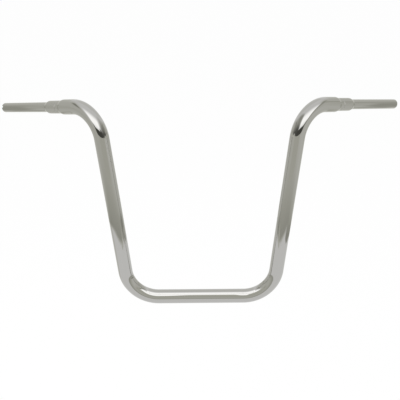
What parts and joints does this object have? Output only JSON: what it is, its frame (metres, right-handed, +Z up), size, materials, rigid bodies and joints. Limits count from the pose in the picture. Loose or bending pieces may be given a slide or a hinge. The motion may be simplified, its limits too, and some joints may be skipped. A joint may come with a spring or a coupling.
{
  "type": "ape hanger handlebar",
  "caption": "Tall motorbike handlebar bent from one chromed steel tube, with leaning uprights, swept-back controls and stepped-down grip seats.",
  "frame": {"origin": "middle of the base tube, on its centreline, between the risers that clamp it", "axes": "+X across the bar to the rider's left, +Y back towards the rider, +Z up the plane of the uprights"},
  "size_m": [1.0964, 0.2639, 0.5611],
  "materials": {
    "chrome": "bright chrome plate on dressed and polished steel tube"
  },
  "bodies": {
    "root": {"handlebar": "chrome"}
  },
  "joints": []
}
